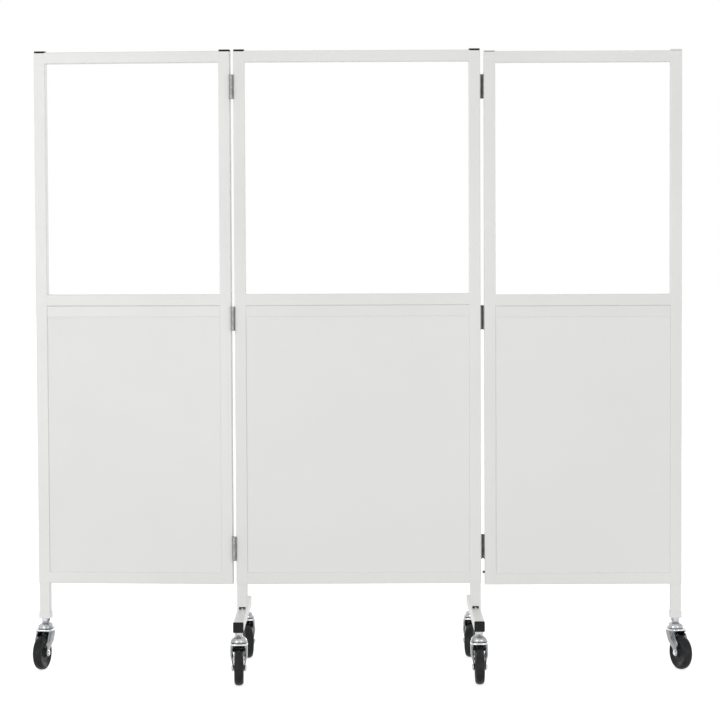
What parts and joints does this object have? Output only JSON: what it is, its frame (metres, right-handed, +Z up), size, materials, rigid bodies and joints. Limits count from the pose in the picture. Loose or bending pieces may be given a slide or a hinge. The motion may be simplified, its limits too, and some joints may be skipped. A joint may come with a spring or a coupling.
{
  "type": "ward privacy screen",
  "caption": "Folding ward screen on swivel casters: a centre panel on two feet with a hinged wing on each side, solid below and open above.",
  "frame": {"origin": "on the floor, under the middle of the screen's overall length and depth as it stands open at rest", "axes": "+Z up; X runs along the screen, with the right wing towards +X; -Y is the front, the side that the casters trail towards"},
  "size_m": [1.751, 0.5442, 1.6443],
  "materials": {
    "powder_white": "smooth white powder coat, satin",
    "sheet_white": "flat white laminate on a light board, low sheen",
    "cap_black": "moulded black plastic",
    "cap_grey": "moulded grey plastic",
    "cap_pale": "moulded pale plastic",
    "zinc_plate": "bright zinc plated pressed steel",
    "hinge_steel": "dull bare steel",
    "rubber_grey": "dark grey rubber tyre on a dark moulded centre"
  },
  "bodies": {
    "centre": {"centre_frame": "powder_white", "centre_sheet": "sheet_white", "centre_head_channel": "powder_white", "centre_left_post_cap": "cap_black", "centre_right_post_cap": "cap_black", "left_foot_leg": "powder_white", "right_foot_leg": "powder_white", "left_foot_bar": "powder_white", "right_foot_bar": "powder_white", "left_foot_front_cap": "cap_black", "left_foot_rear_cap": "cap_black", "right_foot_front_cap": "cap_black", "right_foot_rear_cap": "cap_black", "left_front_caster_stem": "zinc_plate", "right_front_caster_stem": "zinc_plate", "left_rear_caster_stem": "zinc_plate", "right_rear_caster_stem": "zinc_plate", "left_upper_hinge_fixed_leaf": "hinge_steel", "left_middle_hinge_fixed_leaf": "hinge_steel", "left_lower_hinge_fixed_leaf": "hinge_steel", "right_upper_hinge_fixed_leaf": "hinge_steel", "right_middle_hinge_fixed_leaf": "hinge_steel", "right_lower_hinge_fixed_leaf": "hinge_steel"},
    "left_wing": {"left_wing_frame": "powder_white", "left_wing_sheet": "sheet_white", "left_wing_head_channel": "powder_white", "left_wing_inner_cap": "cap_black", "left_wing_outer_cap": "cap_black", "left_wing_leg": "powder_white", "left_wing_collar": "powder_white", "left_wing_caster_stem": "zinc_plate", "left_upper_hinge_wing_leaf": "hinge_steel", "left_middle_hinge_wing_leaf": "hinge_steel", "left_lower_hinge_wing_leaf": "hinge_steel"},
    "right_wing": {"right_wing_frame": "powder_white", "right_wing_sheet": "sheet_white", "right_wing_head_channel": "powder_white", "right_wing_inner_cap": "cap_grey", "right_wing_outer_cap": "cap_pale", "right_wing_leg": "powder_white", "right_wing_collar": "powder_white", "right_wing_caster_stem": "zinc_plate", "right_wing_bump_stop": "cap_black", "right_upper_hinge_wing_leaf": "hinge_steel", "right_middle_hinge_wing_leaf": "hinge_steel", "right_lower_hinge_wing_leaf": "hinge_steel"},
    "left_front_fork": {"left_front_caster_fork": "zinc_plate"},
    "right_front_fork": {"right_front_caster_fork": "zinc_plate"},
    "left_rear_fork": {"left_rear_caster_fork": "zinc_plate"},
    "right_rear_fork": {"right_rear_caster_fork": "zinc_plate"},
    "left_wing_fork": {"left_wing_caster_fork": "zinc_plate"},
    "right_wing_fork": {"right_wing_caster_fork": "zinc_plate"},
    "left_front_wheel": {"left_front_caster_wheel": "rubber_grey"},
    "right_front_wheel": {"right_front_caster_wheel": "rubber_grey"},
    "left_rear_wheel": {"left_rear_caster_wheel": "rubber_grey"},
    "right_rear_wheel": {"right_rear_caster_wheel": "rubber_grey"},
    "left_wing_wheel": {"left_wing_caster_wheel": "rubber_grey"},
    "right_wing_wheel": {"right_wing_caster_wheel": "rubber_grey"}
  },
  "joints": [
    {"name": "left_wing_fold", "type": "hinge", "parent": "centre", "child": "left_wing", "pos_m": [-0.337, 0.001, 0.9355], "axis": [0, 0, 1], "range_deg": [-4.3, 184.7]},
    {"name": "right_wing_fold", "type": "hinge", "parent": "centre", "child": "right_wing", "pos_m": [0.323, 0.043, 0.9355], "axis": [0, 0, 1], "range_deg": [-6, 180]},
    {"name": "left_front_swivel", "type": "hinge", "parent": "centre", "child": "left_front_fork", "pos_m": [-0.317, -0.198, 0.12], "axis": [0, 0, 1], "continuous": true},
    {"name": "right_front_swivel", "type": "hinge", "parent": "centre", "child": "right_front_fork", "pos_m": [0.303, -0.198, 0.12], "axis": [0, 0, 1], "continuous": true},
    {"name": "left_rear_swivel", "type": "hinge", "parent": "centre", "child": "left_rear_fork", "pos_m": [-0.317, 0.242, 0.12], "axis": [0, 0, 1], "continuous": true},
    {"name": "right_rear_swivel", "type": "hinge", "parent": "centre", "child": "right_rear_fork", "pos_m": [0.303, 0.242, 0.12], "axis": [0, 0, 1], "continuous": true},
    {"name": "left_wing_swivel", "type": "hinge", "parent": "left_wing", "child": "left_wing_fork", "pos_m": [-0.84556, 0.06388, 0.12], "axis": [0, 0, 1], "continuous": true},
    {"name": "right_wing_swivel", "type": "hinge", "parent": "right_wing", "child": "right_wing_fork", "pos_m": [0.835, 0.022, 0.12], "axis": [0, 0, 1], "continuous": true},
    {"name": "left_front_wheel_spin", "type": "hinge", "parent": "left_front_fork", "child": "left_front_wheel", "pos_m": [-0.31599, -0.22698, 0.045], "axis": [0.9994, 0.0349, 0], "continuous": true},
    {"name": "right_front_wheel_spin", "type": "hinge", "parent": "right_front_fork", "child": "right_front_wheel", "pos_m": [0.303, -0.227, 0.045], "axis": [1, 0, 0], "continuous": true},
    {"name": "left_rear_wheel_spin", "type": "hinge", "parent": "left_rear_fork", "child": "left_rear_wheel", "pos_m": [-0.31196, 0.21344, 0.045], "axis": [0.9848, 0.1736, 0], "continuous": true},
    {"name": "right_rear_wheel_spin", "type": "hinge", "parent": "right_rear_fork", "child": "right_rear_wheel", "pos_m": [0.29772, 0.21349, 0.045], "axis": [0.9833, -0.1822, 0], "continuous": true},
    {"name": "left_wing_wheel_spin", "type": "hinge", "parent": "left_wing_fork", "child": "left_wing_wheel", "pos_m": [-0.85306, 0.03587, 0.045], "axis": [0.9659, -0.2588, 0], "continuous": true},
    {"name": "right_wing_wheel_spin", "type": "hinge", "parent": "right_wing_fork", "child": "right_wing_wheel", "pos_m": [0.84679, -0.00449, 0.045], "axis": [0.9135, 0.4067, 0], "continuous": true}
  ]
}
